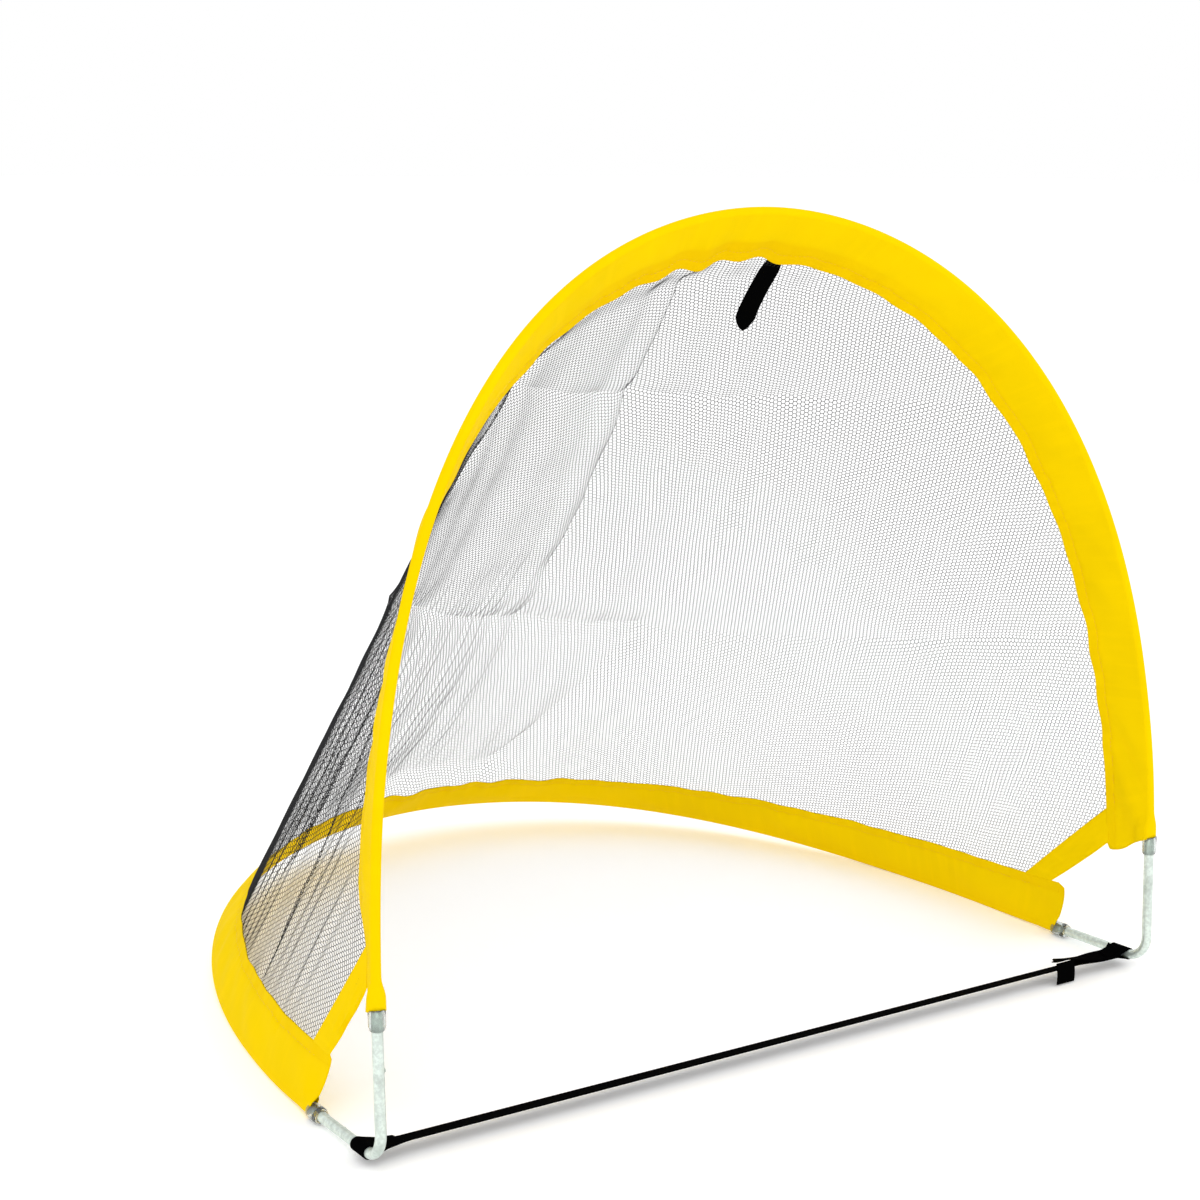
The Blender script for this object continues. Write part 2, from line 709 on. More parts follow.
def make_cloth(name):
    """Plain woven polyester, more orange where the hem is sewn, with slanted streaks where it was creased."""
    c = colours()
    made = Shader(name, c.yellow, 0.6, Specular_IOR_Level=0.01)
    place = made.place()
    base = made.tones(made.ramp(made.noise(place, 9.0), 0.3, 0.7), c.yellow, 0.96, 1.03)
    slant = {"Rotation": (0, 0, CREASE_SLANT), "Scale": CREASES_PER_METRE}
    slanted = made.node("Mapping", slant, Vector=made.pattern()).outputs["Vector"]
    base = made.mix(made.ramp(made.noise(slanted, 1.0), 0.50, 0.72, 0.0, 0.4), base, shade(c.yellow, 1.07))
    mark = made.node("Attribute", {"attribute_name": "mark"}).outputs["Fac"]
    made.link(made.mix(mark, base, tuple(c.hem)), "Base Color")
    made.bump(made.weave(made.pattern(), CLOTH_WEAVE), 0.25, 0.0002)
    return made.material


def make_webbing(name):
    """Ribbed black webbing."""
    c = colours()
    made = Shader(name, c.webbing, 0.8, Specular_IOR_Level=0.001)
    ribs = made.weave(made.pattern(), WEBBING_RIB)
    made.link(made.tones(made.ramp(ribs, 0.1, 0.9), c.webbing, 0.5, 2.2), "Base Color")
    made.bump(ribs, 0.6, 0.0004)
    return made.material


def make_thread(name):
    """Twisted sewing thread."""
    c = colours()
    made = Shader(name, c.thread, 0.6, Sheen_Weight=0.2)
    twist = made.noise(made.place(), 900.0)
    made.link(made.tones(twist, c.thread, 0.85, 1.15), "Base Color")
    return made.material


def make_net(name):
    """Fine black thread, a little lighter where it has rubbed."""
    c = colours()
    made = Shader(name, c.net, 0.6, Specular_IOR_Level=0.08)
    rubbed = made.ramp(made.noise(made.place(), 14.0), 0.35, 0.75)
    made.link(made.tones(rubbed, c.net, 0.7, 1.8), "Base Color")
    made.bump(made.noise(made.place(), 2500.0), 0.3, 0.0001)
    return made.material


def make_steel(name):
    """Galvanised steel: a mottled spangle, a fine grain and a few dull spots."""
    c = colours()
    made = Shader(name, c.steel, 0.38, Metallic=0.6, Specular_IOR_Level=0.5)
    place = made.place()
    spangle = made.node("TexVoronoi", {"Scale": 240.0}, Vector=place).outputs["Color"]
    grain = made.node("SeparateColor", Color=spangle).outputs[0]
    mottled = made.ramp(made.noise(place, 300.0, 6.0), 0.42, 0.62)
    dull = made.ramp(made.noise(place, 70.0, 6.0), 0.52, 0.70)
    base = made.tones(mottled, c.steel, 0.84, 1.06)
    base = made.mix(made.product(grain, 0.3), base, shade(c.steel, 0.75))
    made.link(made.mix(made.product(dull, 0.4), base, shade(c.steel, 0.60)), "Base Color")
    made.link(made.ramp(dull, 0.0, 1.0, 0.30, 0.60), "Roughness")
    made.bump(made.noise(place, 400.0, 4.0), 0.15, 0.0002)
    return made.material


def make_bush(name):
    """Clear plastic, slightly cloudy."""
    c = colours()
    made = Shader(name, c.bush, 0.05, IOR=1.46, Transmission_Weight=0.95, Specular_IOR_Level=0.5)
    facing = made.node("LayerWeight", {"Blend": 0.5}).outputs["Facing"]
    clear = made.tones(made.noise(made.place(), 120.0), c.bush, 0.92, 1.0)
    made.link(made.mix(facing, clear, shade(c.bush, 0.45)), "Base Color")
    made.bump(made.noise(made.place(), 300.0), 0.08, 0.0002)
    return made.material


def make_rod(name):
    """Pale fibreglass with fibres along the rod."""
    c = colours()
    made = Shader(name, c.rod, 0.45, Specular_IOR_Level=0.45)
    fibre = made.noise(made.place((1, 1, 0.08)), 900.0, 4.0)
    made.link(made.tones(fibre, c.rod, 0.85, 1.1), "Base Color")
    return made.material


def leg_matrix(cloth, side, face):
    """Stands something turned about Z on a leg of a foot. Its heights are measured from the foot's corner."""
    turn = Matrix.Rotation(-math.pi / 2, 4, "X") if face == REAR else Matrix.Identity(4)
    return cloth.matrix() @ Matrix.Translation((side * cloth.half, 0, 0)) @ turn


def hand(side):
    """The word for a side in the names of pieces."""
    return "left" if side < 0 else "right"


def end_name(face):
    """The word for a hoop in the names of pieces."""
    return "rear" if face == REAR else "front"


# How much of its width a tube loses at the middle of its bend
BEND_FLATTENING = 0.018
LEG_STEPS = 10
BEND_POINTS = 29


def foot_tube(cloth, side):
    """A bent tube with an open mouth at each end, a little flattened on the outside of its bend."""
    s = sizes()
    x = side * cloth.half
    bend = s.tube_bend
    straight = s.tube_run - bend
    path = [(x, 0, s.tube_run - straight * i / LEG_STEPS) for i in range(LEG_STEPS)]
    for turned in np.linspace(0, math.pi / 2, BEND_POINTS):
        path.append((x, bend * (1 - math.cos(turned)), bend * (1 - math.sin(turned))))
    path += [(x, bend + straight * i / LEG_STEPS, 0) for i in range(1, LEG_STEPS + 1)]
    mesh = bar_mesh(f"{hand(side)}_bent_tube", path, s.tube_diameter / 2, 8, caps=False)
    points = coordinates(mesh)
    away = points[:, 1:] - bend
    on_bend = (away < 0).all(axis=1)
    outside = np.clip((np.hypot(*away.T) - bend) / (s.tube_diameter / 2), 0, 1)
    turned = np.arctan2(away[:, 1], away[:, 0])
    pull = np.where(on_bend, BEND_FLATTENING * np.sin(2 * turned) ** 2 * outside, 0)
    points[:, 1:] = bend + away * (1 - pull)[:, None]
    set_coordinates(mesh, points)
    mesh.transform(cloth.matrix())
    piece = add_piece(mesh.name, mesh, shared("zinc_tube", make_steel))
    thicken(piece, s.tube_wall)
    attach(piece, STANDING)
    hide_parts(f"{hand(side)}_foot_tube")


# How far a bush's rims and a rivet's edge are rounded, and how far a rivet's head stands off the tube
BUSH_RIM = 0.0006
RIVET_RIM = 0.0004
RIVET_SEAT = 0.0001


def bush_piece(cloth, side, face):
    """A clear sleeve over a tube's mouth, with rounded rims and a taper down to the tube."""
    s = sizes()
    on_tube = s.tube_diameter / 2 + s.gap
    on_rod = s.rod_diameter / 2 + s.gap
    radius = s.bush_diameter / 2
    thin = on_tube + 2 * s.gap
    end = cloth.bush_end
    back = end - s.bush_length
    stop = s.tube_run + s.gap
    rim = BUSH_RIM
    profile = [(on_rod, end - rim), (on_rod + rim, end), (radius - rim, end)]
    profile += [(radius - rim * 0.3, end - rim * 0.3), (radius, end - rim)]
    profile += [(radius, back + s.bush_taper + rim), (radius - rim * 0.4, back + s.bush_taper)]
    profile += [(thin + rim, back + rim), (thin, back), (on_tube, back), (on_tube, stop), (on_rod, stop)]
    name = f"{end_name(face)}_{hand(side)}_clear_bush"
    mesh = turned_mesh(name, profile)
    mesh.transform(leg_matrix(cloth, side, face))
    piece = add_piece(name, mesh, shared("cloudy_plastic", make_bush))
    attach(piece, STANDING)
    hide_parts(f"{end_name(face)}_{hand(side)}_bush")


def rivet_piece(cloth, side, face):
    """A domed head on the tube's inner side."""
    s = sizes()
    head = s.rivet_head / 2
    shank = head * 0.55
    dome = s.rivet_dome - RIVET_RIM
    profile = [(0, -s.tube_wall), (shank, -s.tube_wall), (shank, RIVET_SEAT), (head, RIVET_SEAT)]
    for turned in np.linspace(0, math.pi / 2, 8)[:-1]:
        profile.append((head * math.cos(turned), RIVET_RIM + dome * math.sin(turned)))
    profile.append((0, s.rivet_dome))
    name = f"{end_name(face)}_{hand(side)}_rivet_head"
    mesh = turned_mesh(name, profile, 24)
    inner = side * (cloth.half - s.tube_diameter / 2)
    place = Vector((inner, s.rivet_height, 0)) if face == REAR else Vector((inner, 0, s.rivet_height))
    turn = Matrix.Rotation(-side * math.pi / 2, 4, "Y")
    mesh.transform(cloth.matrix() @ Matrix.Translation(place) @ turn)
    piece = add_piece(name, mesh, shared("zinc_tube", make_steel))
    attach(piece, STANDING)
    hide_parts(f"{end_name(face)}_{hand(side)}_rivet")


ROD_POINTS = 241
ROD_END_POINTS = 12


def rod_piece(cloth, face):
    """A whole rod, from inside one foot over the crown to inside the other."""
    s = sizes()
    end = cloth.arc_at(cloth.bush_end)
    arcs = np.linspace(-end, end, ROD_POINTS)
    hoop = cloth.sheet(arcs, face * np.interp(np.abs(arcs), cloth.arc, cloth.reach))
    depths = np.linspace(s.tube_run - s.rod_insert, cloth.bush_end, ROD_END_POINTS)[:-1]
    legs = []
    for side in (-1, 1):
        place = (depths, 0 * depths) if face == REAR else (0 * depths, depths)
        legs.append(cloth.stand(side * cloth.half, *place))
    points = np.concatenate([legs[0], hoop, legs[1][::-1]])
    name = f"{end_name(face)}_hoop_rod"
    mesh = bar_mesh(name, points, cloth.rod_radius, 3)
    return add_piece(name, mesh, shared("pale_fibreglass", make_rod))


# Half of the width of the groove that the seam draws into the cloth
SEAM_GROOVE = 0.001


def sleeve_profile(cloth):
    """Half of the sleeve's section, from its inner edge round to the far side of the rod: (inward, lift)."""
    s = sizes()
    half = s.hem_thickness / 2
    seam = s.band_width - s.hem_width
    radius = cloth.sleeve_radius
    touch = math.pi / 2 - math.asin((radius - half) / seam)
    points = [(s.band_width, 0.0), (s.band_width - half * 0.3, half * 0.7)]
    points += [(x, half) for x in np.linspace(s.band_width - half, seam + SEAM_GROOVE, 6)]
    points.append((seam, half * 0.7))
    start = np.array((seam - SEAM_GROOVE, half))
    stop = radius * np.array((math.cos(touch), math.sin(touch)))
    points += [tuple(start + (stop - start) * t) for t in np.linspace(0, 1, 14)]
    points += [(radius * math.cos(a), radius * math.sin(a)) for a in np.linspace(touch, math.pi, 9)[1:]]
    return np.array(points)


SLEEVE_COLUMNS = 520
# For each sleeve: how much further it hangs on its right side, how far its mouth opens, as a share of the
# front one's, and how much its inner layer is cut back there
RIGHT_HANG = {FRONT: 0.0025, REAR: 0.0}
MOUTH_FLARE = {FRONT: 1.0, REAR: 0.35}
MOUTH_TRIM = {FRONT: 0.0, REAR: 0.006}
# The gathers along the seam: their height and how far they reach from it
PUCKER, PUCKER_REACH = 0.0006, 0.008
# How far the cloth stands off between the rod and the seam, and how much that varies
CLOTH_STAND, CLOTH_WAVE = 0.0010, 0.0016
# How far beyond the rod's axis the sleeve's ends begin to hang, and how much the very edge is drawn back up
HANG_FROM = 0.0055
EDGE_RISE = 0.005
# How far from the sleeve's end the mouth opens round the rod, and how far the band is pinched flat beside it,
# with the run over which each sets in, and how much of its thickness the pinched band loses
MOUTH_REACH, MOUTH_RUN = 0.020, 0.012
PINCH_REACH, PINCH_RUN = 0.018, 0.012
PINCH = 0.78
# The hem's seam line, and the crown's stretch of more orange cloth: its middle, its length and its inner side
SEAM_LINE = 0.0013
ORANGE_MIDDLE, ORANGE_LENGTH, ORANGE_FROM = -0.03, 0.22, 0.030


class Sleeve:
    """One hoop's folded strip of cloth: a pocket round the rod, drawn flat to a seam, and a hem beyond it."""

    def __init__(self, cloth, face):
        s = sizes()
        self.cloth = cloth
        self.face = face
        self.seed = SLEEVE_SEEDS[face]
        self.seam = s.band_width - s.hem_width
        self.end = cloth.arc_at(cloth.bush_end + s.sleeve_start)
        half = sleeve_profile(cloth)
        profile = np.concatenate([half, half[-2::-1] * (1, -1)])
        self.section = np.column_stack([profile, walked_along(np.hypot(*np.diff(profile, axis=0).T))])
        edge_arc = cloth.edge(s.band_width)[0]
        self.hang = cloth.corner() + 0.001 - float(np.interp(self.end, cloth.arc, edge_arc))

    def pucker(self, rod, upper):
        """Small gathers along the seam."""
        return PUCKER * two_faced_ripple(upper, rod, self.seed + PUCKER_SEED, 0.010, 0.030)

    def hung_arc(self, way, inward, inner):
        """Where the cloth is along the arc: its ends hang past the bushes, more so towards the inner edge."""
        across = np.clip((inward + HANG_FROM) / (sizes().band_width + HANG_FROM), 0, 1)
        hang = (self.hang + RIGHT_HANG[self.face] * (way > 0)) * np.sin(math.pi / 2 * across)
        hang = hang - EDGE_RISE * fade_in(across, 0.92, 0.08)
        arc = way * self.end + np.sign(way) * hang * fade_in(np.abs(way), 0.9, 0.1)
        return arc - np.sign(way) * MOUTH_TRIM[self.face] * inner * fade_in(np.abs(way), 0.97, 0.03)

    def cloth_at(self, u, v):
        """Where the cloth is: arc, inward and lift, with its place along the rod."""
        inward, lift, _ = around(self.section, v)
        way = 2 * u - 1
        rod = self.cloth.rod_of_arc(way * self.end)
        upper = v < 0.5
        inner = ease(np.where(upper, way, -way) * np.minimum(np.abs(v - 0.5) / 0.05, 1))
        arc = self.hung_arc(way, inward, inner)
        web = np.sin(math.pi * np.clip(inward / self.seam, 0, 1)) ** 1.3
        puff = two_faced_ripple(upper, rod + way * inward, self.seed, 0.05, 0.24)
        near_seam = bell(inward - self.seam, PUCKER_REACH) * fade_out(inward, sizes().band_width, 0.004)
        stand = web * (CLOTH_STAND + CLOTH_WAVE * puff) + near_seam * self.pucker(rod, upper)
        lift = lift + np.where(upper, 1, -1) * stand
        from_mouth = (1 - np.abs(way)) * self.end
        mouth = fade_out(from_mouth, MOUTH_REACH, MOUTH_RUN) * bell(inward, 0.02)
        flare = 1 + mouth * (0.30 + 0.45 * fade_in(inward, -0.005, 0.005)) * MOUTH_FLARE[self.face]
        pinch = fade_out(from_mouth, PINCH_REACH, PINCH_RUN) * fade_in(inward, 0.007, 0.008)
        lift = lift * (1 - PINCH * pinch)
        sway, off = self.cloth.wander(rod, self.face)
        hold = fade_in(inward, 0.02, 0.03)
        return arc, inward * flare + sway * hold, lift * flare + off * hold, rod

    def place(self, u, v):
        """World points of the cloth."""
        arc, inward, lift, _ = self.cloth_at(u, v)
        return self.cloth.band(arc, self.face, inward, lift)

    def pattern(self, u, v):
        """Along the rod and round the section, for the weave."""
        return self.cloth.rod_of_arc((2 * u - 1) * self.end), around(self.section, v)[2]

    def marks(self, u, v):
        """How orange the cloth is: the hem, a line at the seam, and the front band's inside at its crown."""
        _, inward, _, rod = self.cloth_at(u, v)
        sway = self.cloth.wander(rod, self.face)[0]
        past = inward - sway - self.seam
        hem = fade_in(past, 0, 0.003) * (0.35 + 0.2 * ripple(rod, self.seed + HEM_COLOUR_SEED, 0.02, 0.09))
        seam = 0.5 * bell(past, SEAM_LINE)
        inner = ease((inward - ORANGE_FROM - 0.3 * sway) / 0.005)
        crown = bell(rod - ORANGE_MIDDLE, ORANGE_LENGTH) * inner
        return np.clip(hem + seam + (crown if self.face == FRONT else 0), 0, 1)


def sleeve_piece(cloth, face):
    """A sleeve, which hangs on its rod and is as long as its seam."""
    made = Sleeve(cloth, face)
    name = f"{end_name(face)}_sleeve_cloth"
    rows = len(made.section) - 1
    mesh = bent_pipe(name, SLEEVE_COLUMNS, rows, made.place, made.pattern, capped=False, marks=made.marks)
    piece = add_piece(name, mesh, shared("sleeve_cloth", make_cloth))
    thicken(piece, sizes().cloth_thickness)
    run = 2 * float(cloth.rod_of_arc(made.end))
    f"{end_name(face)}_hoop_rod"
    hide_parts(f"{end_name(face)}_sleeve")
    return piece


# From one stitch to the next, where the row stops short of the sleeve's ends, and half of a stitch's size
STITCH_PITCH = 0.0042
STITCH_MARGIN = 0.012
STITCH_SIZE = (0.0015, 0.00022, 0.00022, 1)
# A step that is small beside a stitch, for the direction of the seam
A_LITTLE = 1e-4


def stitch_piece(cloth, face):
    """The seam's stitches on both faces of a sleeve."""
    s = sizes()
    made = Sleeve(cloth, face)
    run = float(cloth.rod_of_arc(made.end)) - STITCH_MARGIN
    rods = np.arange(-run, run, STITCH_PITCH)
    arcs = cloth.arc_of_rod(rods)
    sway, off = cloth.wander(rods, face)
    inward = made.seam + sway
    bm = bmesh.new()
    for upper in (1, -1):
        lift = off + upper * (s.hem_thickness * 0.4 + made.pucker(rods, upper > 0))
        here = cloth.band(arcs, face, inward, lift)
        ahead = cloth.band(cloth.arc_of_rod(rods + A_LITTLE), face, inward, lift)
        above = cloth.band(arcs, face, inward, lift + upper * 10 * A_LITTLE)
        for p, q, r in zip(here, ahead, above):
            along = Vector(q - p).normalized()
            up = Vector(r - p)
            up = (up - up.dot(along) * along).normalized()
            turn = Matrix((along, up.cross(along), up)).transposed().to_4x4()
            place = Matrix.Translation(p) @ turn @ Matrix.Diagonal(STITCH_SIZE) @ LAY_ALONG_X
            bmesh.ops.create_uvsphere(bm, u_segments=6, v_segments=4, radius=1, matrix=place)
    name = f"{end_name(face)}_sleeve_stitches"
    mesh = finish_mesh(bm, name)
    mesh.shade_smooth()
    return add_piece(name, mesh, shared("sewing_thread", make_thread))


def mirrored(upper):
    """A closed section from the half of it that lies above 0."""
    return np.array(upper + [(place, -height) for place, height in upper[-2::-1]])


def binding_section():
    """A folded tape's section: its share of the way down from 0 to 1, and its height from -1 to 1."""
    upper = [(0.0, 0.0), (0.03, 0.7), (0.08, 1.0)]
    upper += [(share, 1.0) for share in np.linspace(0.16, 0.92, 9)]
    return mirrored(upper + [(0.97, 0.7), (1.0, 0.0)])


BINDING_COLUMNS = 70
# How a binding waves along its run, and how far its lower edge hangs in the middle
BINDING_WAVE = 0.0012
BINDING_HANG = 0.002


def binding_piece(cloth, side):
    """The folded binding on the net's lower corner, between the two bands."""
    s = sizes()
    low = cloth.corner()
    section = binding_section()

    def place(u, v):
        share, height = around(section, v)
        way = 2 * u - 1
        arc = low - s.tape_width * (1 - share) - s.tape_rise * (1 + side * way) / 2
        reach = cloth.edge_at(arc, s.band_width)
        across = way * (reach + s.tuck)
        slack = 1 - way**2
        wave = ripple(across + 0.5 * share, BINDING_SEED + side, 0.05, 0.16)
        lift = cloth.net_lift(side * arc, across, reach) + height * s.tape_thickness / 2
        lift = lift + BINDING_WAVE * slack * fade_in(share, 0.25, 0.3) * wave
        return cloth.sheet(side * (arc + BINDING_HANG * slack * share), across, lift)

    def pattern(u, v):
        share, height = around(section, v)
        across = (2 * u - 1) * cloth.edge_at(low, s.band_width)
        return across, share * s.tape_width + height * s.tape_thickness

    def marks(_, v):
        share = around(section, v)[0]
        return 0.35 * fade_out(share, 0.12, 0.1) + 0.2 * fade_in(share, 0.9, 0.1)

    name = f"{hand(side)}_corner_binding"
    mesh = bent_pipe(name, BINDING_COLUMNS, len(section) - 1, place, pattern, marks=marks)
    piece = add_piece(name, mesh, shared("sleeve_cloth", make_cloth))
    middle_arc = low - (s.tape_width + s.tape_rise) / 2
    reach = float(cloth.edge_at(middle_arc, s.band_width))
    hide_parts(f"{hand(side)}_corner_tape")
    blend_across(piece, cloth, side * middle_arc, reach)


# Folds that run over the net from hoop to hoop. Each lies at the arc  at + drift * side + curve * side**2,
# between its first and last side. It stands up by its height, or is a valley where that is negative, and it
# falls away over its two runs, one each way along the arc.
NetFold = namedtuple("NetFold", "at height runs drift curve first last", defaults=(0.0, 0.0, -0.60, 0.60))
NET_FOLDS = (
    NetFold(at=-0.018, height=0.016, runs=(0.10, 0.10), curve=-0.13),
    NetFold(at=-0.018, height=0.004, runs=(0.004, 0.01), curve=-0.13, last=0.04),
    NetFold(at=0.148, height=0.009, runs=(0.09, 0.08), drift=-0.058, curve=-0.36),
    NetFold(at=0.148, height=0.005, runs=(0.008, 0.02), drift=-0.058, curve=-0.36, first=0.06),
    NetFold(at=-0.449, height=0.006, runs=(0.010, 0.03), drift=-0.60, first=-0.46, last=-0.24),
    NetFold(at=-0.505, height=-0.007, runs=(0.004, 0.03), first=-0.42, last=0.12),
    NetFold(at=-0.560, height=-0.006, runs=(0.004, 0.02), drift=-0.12, first=-0.42, last=0.20),
    NetFold(at=-0.586, height=-0.004, runs=(0.004, 0.02), first=-0.25, last=0.05),
    NetFold(at=-0.702, height=-0.004, runs=(0.004, 0.02), drift=-0.35, first=-0.24, last=0.12),
)
# How far a fold's line strays, and the run over which a fold rises at its ends
FOLD_STRAY = 0.0015
FOLD_END = 0.06

# Creases where the net was folded away, each along  side = at - curve * (arc - middle)**2.
NetCrease = namedtuple("NetCrease", "at middle curve depth")
NET_CREASES = (
    NetCrease(at=-0.246, middle=0.05, curve=1.3, depth=0.014),
    NetCrease(at=0.118, middle=0.09, curve=1.4, depth=0.010),
)
CREASE_WIDTH = 0.030

# Heights of the net's soft waves, along the arc and across it, of the wrinkles at the left, and of the finer
# ones beside the rear band
NET_WAVE = 0.0024
NET_CROSS_WAVE = 0.0012
LEFT_WRINKLE = 0.0020
LOW_WRINKLE = 0.0007
# Arc positions from which the waves, the creases and the sag set in, and the runs over which they do
WAVES_FROM, WAVES_RUN = -0.25, 0.2
CREASES_FROM, CREASES_RUN = -0.40, 0.12
SAG_FROM, SAG_RUN = -0.38, 0.3
# How much of the waves is left before that, and how much more the net sags towards its rear side
CALM_WAVES = 0.35
REAR_SAG = 0.6
# Where the wrinkles set in at the left, and the runs over which the net is held flat at the hems, as a share
# of the way, and at the bindings
WRINKLES_FROM, WRINKLES_RUN = 0.42, 0.05
HEM_HOLD = 0.10
BINDING_HOLD = 0.08


def net_waves(arc, side):
    """Soft waves, flatter at the left, where short wrinkles take their place."""
    wave = NET_WAVE * ripple(arc + 0.10 * side, NET_WAVE_SEED, 0.06, 0.18)
    wave = wave + NET_CROSS_WAVE * ripple(side - 0.2 * arc, NET_CROSS_WAVE_SEED, 0.06, 0.20)
    wave = wave * (CALM_WAVES + (1 - CALM_WAVES) * fade_in(arc, WAVES_FROM, WAVES_RUN))
    wrinkles = ripple(arc + 0.04 * side, LEFT_WRINKLE_SEED, 0.014, 0.035)
    return wave + LEFT_WRINKLE * fade_in(-arc, WRINKLES_FROM, WRINKLES_RUN) * wrinkles


def net_folds(arc, side):
    """How high the folds stand."""
    height = 0 * arc
    stray = FOLD_STRAY * ripple(side, FOLD_SEED, 0.06, 0.20)
    for fold in NET_FOLDS:
        away = arc - (fold.at + fold.drift * side + fold.curve * side**2 + stray)
        before, after = fold.runs
        span = fade_in(side, fold.first, FOLD_END) * fade_out(side, fold.last, FOLD_END)
        height = height + span * fold.height * np.exp(np.where(away < 0, away / before, -away / after))
    return height


def net_slack(cloth, arc, side, edge):
    """The net's own shape: waves, folds from hoop to hoop, creases where it was folded away, and its sag."""
    s = sizes()
    share = np.clip(share_of(np.abs(side), edge), 0, 1)
    held = (1 - share**2) ** 0.7
    near_hem = fade_out(share, 1, HEM_HOLD)
    corner = fade_out(np.abs(arc), cloth.corner() - s.tape_width, BINDING_HOLD)
    wave = net_waves(arc, side)
    for crease in NET_CREASES:
        away = side - (crease.at - crease.curve * (arc - crease.middle) ** 2)
        depth = crease.depth * fade_in(arc, CREASES_FROM, CREASES_RUN)
        wave = wave + depth * np.exp(-np.abs(away) / CREASE_WIDTH)
    low_left = fade_out(arc, 0.20, 0.16) * fade_in(arc, -0.35, 0.10) * fade_in(side, -0.12, 0.25)
    wave = wave + LOW_WRINKLE * low_left * ripple(arc + 0.1 * side, LOW_WRINKLE_SEED, 0.010, 0.020)
    sag = s.net_sag * fade_in(arc, SAG_FROM, SAG_RUN) * edge / float(cloth.reach[0])
    hang = (1 - share**2) * (1 + share_of(REAR_SAG * side, edge))
    return (wave * held + net_folds(arc, side) * near_hem - sag * hang) * corner


# How far every other knot is shifted along its row, as a share of the pitch
ZIGZAG = 0.13


def net_grid(start, stop, tall):
    """A turned grid of threads over one panel, with its zigzag lines, and the bars that are left out of it.

    The lattice is counted from the crown, so that neighbouring panels match.
    """
    s = sizes()
    cosine, sine = math.cos(s.net_turn), math.sin(s.net_turn)
    wide = (stop - start) / 2 + 2 * s.net_pitch
    step = s.net_row / 2
    columns = 2 * int((wide * cosine + tall * sine) / s.net_pitch + 2)
    rows = 2 * int((wide * sine + tall * cosine) / step + 2)
    centre = (start + stop) / 2
    bm = bmesh.new()
    bmesh.ops.create_grid(bm, x_segments=columns, y_segments=rows, size=0.5)
    flat = np.array([v.co[:2] for v in bm.verts]) + 0.5
    column = np.rint(flat[:, 0] * columns).astype(int) + round(centre * cosine / s.net_pitch) - columns // 2
    row = np.rint(flat[:, 1] * rows).astype(int) + round(centre * sine / step) - rows // 2
    even = (column + row) % 2 == 0
    x = (column + np.where(even, ZIGZAG, -ZIGZAG)) * s.net_pitch
    y = row * step
    arc = x * cosine + y * sine
    side = y * cosine - x * sine
    for vert, a, b in zip(bm.verts, arc, side):
        vert.co = (a, b, 0)
    margin = 3 * s.net_pitch
    outside = (arc < start - margin) | (arc > stop + margin) | (np.abs(side) > tall)
    bars = []
    for edge in bm.edges:
        first, last = sorted((vert.index for vert in edge.verts), key=lambda index: column[index])
        if row[first] == row[last] and not outside[first] and not outside[last] and not even[first]:
            bars.append(edge)
    bmesh.ops.delete(bm, geom=[vert for vert in bm.verts if outside[vert.index]], context="VERTS")
    bmesh.ops.dissolve_edges(bm, edges=[bar for bar in bars if len(bar.link_faces) == 2], use_verts=False)
    return bm


HOLE_CORNERS = 6


def net_panel(cloth, name, start, stop):
    """The holes whose middles lie between two arc positions, each with half of the threads round it."""
    s = sizes()
    hem = cloth.edge(s.band_width - s.tuck)
    nearest = 0.0 if start * stop < 0 else min(abs(start), abs(stop))
    bm = net_grid(start, stop, float(np.interp(nearest, *hem)) + 3 * s.net_row)
    spare = []
    for face in bm.faces:
        centre = face.calc_center_median()
        beyond = abs(centre.y) > np.interp(abs(centre.x), *hem)
        if len(face.verts) != HOLE_CORNERS or not start <= centre.x < stop or beyond:
            spare.append(face)
    bmesh.ops.delete(bm, geom=spare, context="FACES")
    holes = bm.faces[:]
    bmesh.ops.inset_individual(bm, faces=holes, thickness=s.net_thread / 2, use_even_offset=True)
    ridge = s.net_thread / 4
    rims = {vert for hole in holes for vert in hole.verts}
    for vert in bm.verts:
        vert.co.z = -ridge if vert in rims else ridge
    bmesh.ops.delete(bm, geom=holes, context="FACES")
    mesh = finish_mesh(bm, name)
    flat = coordinates(mesh)
    arc, side = flat[:, 0], flat[:, 1]
    reach = np.interp(np.abs(arc), *hem)
    lift = cloth.net_lift(arc, side, reach) + net_slack(cloth, arc, side, reach) + flat[:, 2]
    set_coordinates(mesh, cloth.sheet(arc, side, lift))
    mesh.shade_smooth()
    return mesh


def net_stop(cloth):
    """The arc position where the net ends, inside the binding."""
    s = sizes()
    return cloth.corner() - s.tape_width + s.tuck


# How far the panels' widths are even, against how far they follow the way that the cloth narrows
EVEN_PANELS = 0.3
# Panels of the net in the solids, and the threads' share of the net's area
SOLID_PANELS = 9


def net_seam(cloth, share):
    """The arc position where a panel ends. Panels are narrower towards the feet, as the cloth narrows."""
    arcs = np.linspace(0, net_stop(cloth), 200)
    reach = cloth.edge_at(arcs, sizes().band_width)
    narrowed = (1 - EVEN_PANELS) * (reach[0] - reach) / (reach[0] - reach[-1])
    walked = EVEN_PANELS * arcs / arcs[-1] + narrowed
    return float(np.sign(share) * np.interp(abs(share), walked, arcs))


